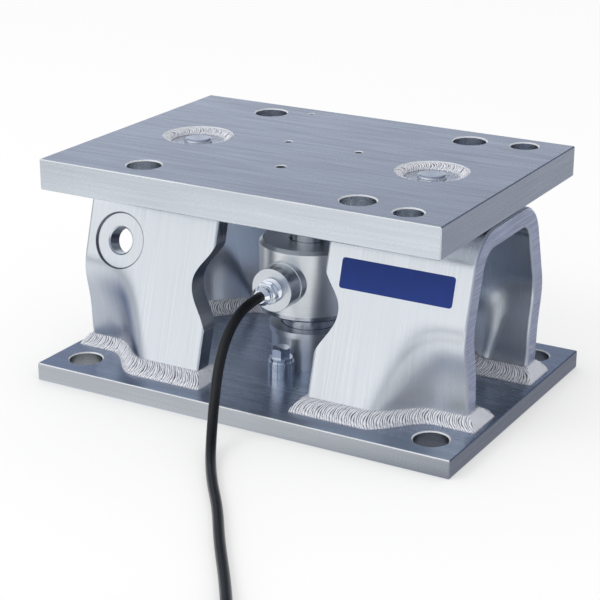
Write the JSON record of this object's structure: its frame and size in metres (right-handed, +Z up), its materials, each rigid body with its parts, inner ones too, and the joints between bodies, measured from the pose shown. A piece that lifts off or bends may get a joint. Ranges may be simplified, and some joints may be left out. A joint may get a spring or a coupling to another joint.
{
  "type": "weighing module",
  "caption": "Compression weighing module: a canister load cell between a base plate and a top plate, held against lift by studs through folded yokes welded to the base, with a coiled cable.",
  "frame": {"origin": "on the floor under the middle of the base plate", "axes": "+X along the plates towards the end with two extra holes, -Y towards the cable gland, +Z up"},
  "size_m": [0.3203, 0.5941, 0.1525],
  "materials": {
    "plate_steel": "brushed stainless plate",
    "yoke_steel": "satin brushed stainless sheet",
    "weld_metal": "rippled fillet bead, brushed clean",
    "stud_steel": "turned stainless",
    "fastener_steel": "bright stainless fastener",
    "turned_steel": "fine turned and polished stainless",
    "hardened_steel": "ground hardened steel",
    "plated_brass": "nickel-plated brass",
    "seal_rubber": "black nitrile rubber",
    "gauge_film": "amber foil film",
    "board_laminate": "green lacquered laminate",
    "cable_jacket": "black polyurethane jacket",
    "tie_plastic": "black nylon",
    "sleeve_plastic": "black shrunk sleeve",
    "core_plastic": "insulated cores"
  },
  "bodies": {
    "root": {"base_plate": "plate_steel", "top_plate": "plate_steel", "right_yoke": "yoke_steel", "left_yoke": "yoke_steel", "right_yoke_welds": "weld_metal", "left_yoke_welds": "weld_metal", "right_holddown_bolt": "stud_steel", "left_holddown_bolt": "stud_steel", "holddown_welds": "weld_metal", "holddown_washers": "fastener_steel", "holddown_nuts": "fastener_steel", "holddown_locknuts": "fastener_steel", "lower_receiver": "turned_steel", "lower_seal_ring": "seal_rubber", "lower_bearing_disc": "hardened_steel", "base_screws": "fastener_steel", "upper_receiver": "turned_steel", "upper_seal_ring": "seal_rubber", "upper_bearing_disc": "hardened_steel", "receiver_screws": "fastener_steel", "load_cell_column": "turned_steel", "strain_gauges": "gauge_film", "load_cell_housing": "turned_steel", "load_cell_lid": "turned_steel", "signal_board": "board_laminate", "cable_boss": "turned_steel", "gland_body": "plated_brass", "gland_nut": "plated_brass", "gland_seal": "seal_rubber", "cable_entry": "cable_jacket", "anti_rotation_sleeve": "turned_steel", "anti_rotation_bolt": "fastener_steel", "cable": "cable_jacket", "cable_coil": "cable_jacket", "coil_tie": "tie_plastic", "cable_tail": "cable_jacket", "cable_end_sleeve": "sleeve_plastic", "cable_cores": "core_plastic"}
  },
  "joints": []
}
